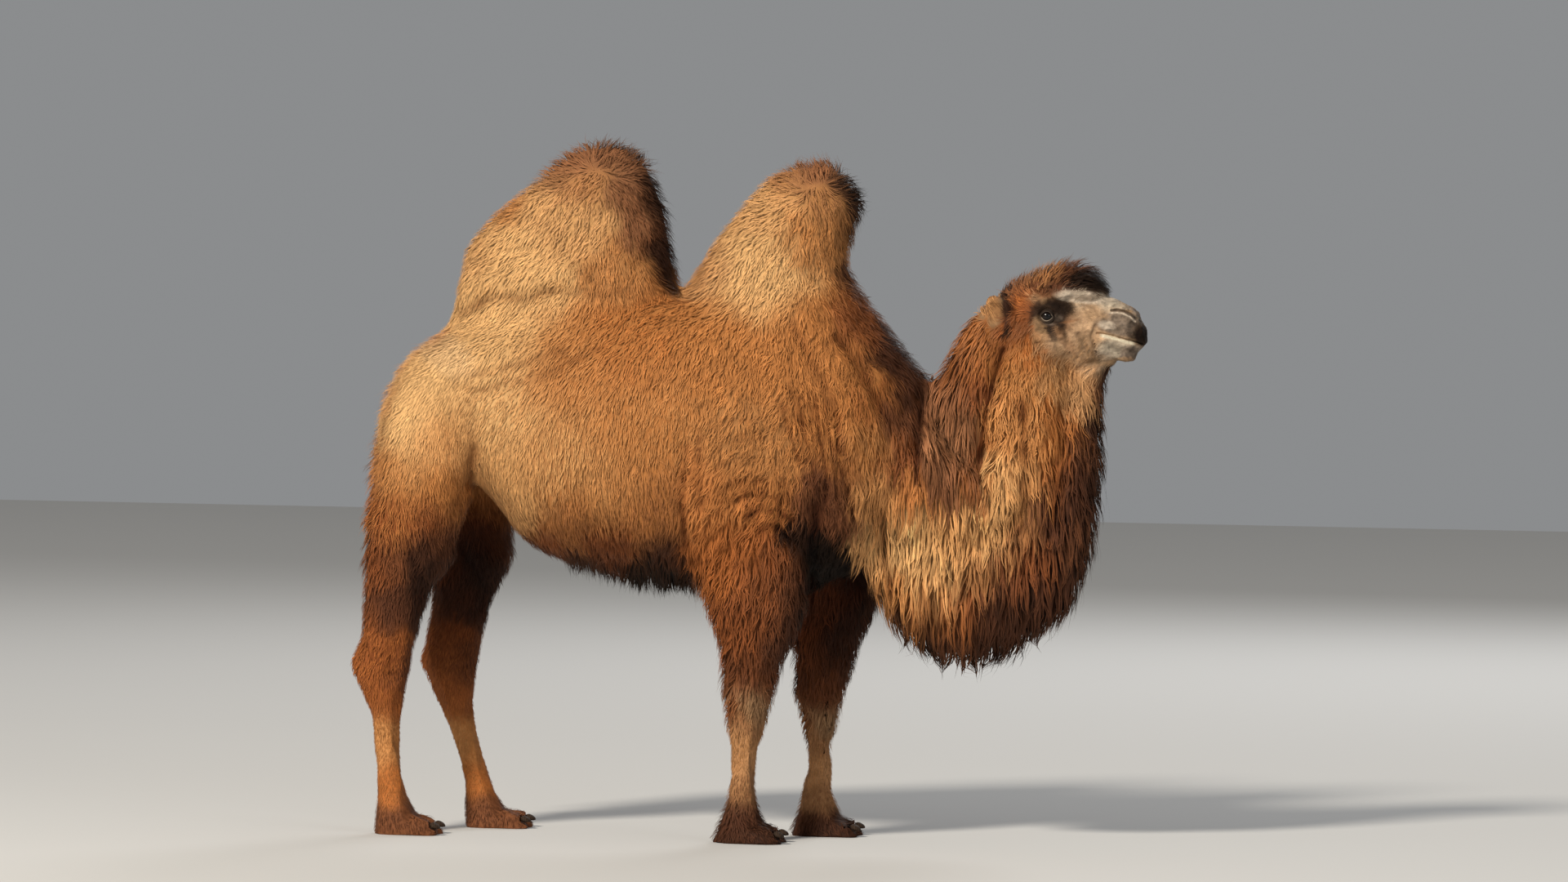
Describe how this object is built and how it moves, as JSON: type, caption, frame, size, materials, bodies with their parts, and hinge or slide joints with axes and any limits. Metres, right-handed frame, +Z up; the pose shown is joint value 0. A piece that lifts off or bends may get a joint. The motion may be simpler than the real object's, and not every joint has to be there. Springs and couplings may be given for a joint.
{
  "type": "bactrian camel",
  "caption": "Standing two-humped camel in thick winter coat, head held level, long beard under a deeply bent neck.",
  "frame": {"origin": "on the ground, under the middle of the animal's outline", "axes": "+X towards the head, +Y to the animal's left, +Z up; the soles stand on Z = 0"},
  "size_m": [2.5156, 0.8558, 2.2216],
  "materials": {
    "flank": "thick woolly coat",
    "hump": "soft long coat",
    "leg": "shaggy to short coat",
    "dark": "long dark hair",
    "face": "short velvety hair",
    "nail": "worn horn",
    "eye": "wet and glossy"
  },
  "bodies": {
    "root": {"trunk": "flank", "hump_front": "hump", "hump_rear": "hump", "neck_lower": "hump", "neck_upper": "hump", "head": "face", "mane": "dark", "beard": "dark", "topknot": "dark", "tail": "hump", "ear_right": "face", "ear_left": "face", "eye_right": "eye", "eye_left": "eye", "hind_thigh_right": "leg", "hind_gaskin_right": "leg", "hind_shank_right": "leg", "hind_foot_right": "dark", "fore_arm_right": "leg", "fore_forearm_right": "leg", "fore_shank_right": "leg", "fore_foot_right": "dark", "hind_nail_right_right": "nail", "hind_nail_right_left": "nail", "fore_nail_right_right": "nail", "fore_nail_right_left": "nail", "hind_thigh_left": "leg", "hind_gaskin_left": "leg", "hind_shank_left": "leg", "hind_foot_left": "dark", "fore_arm_left": "leg", "fore_forearm_left": "leg", "fore_shank_left": "leg", "fore_foot_left": "dark", "hind_nail_left_right": "nail", "hind_nail_left_left": "nail", "fore_nail_left_right": "nail", "fore_nail_left_left": "nail"}
  },
  "joints": []
}
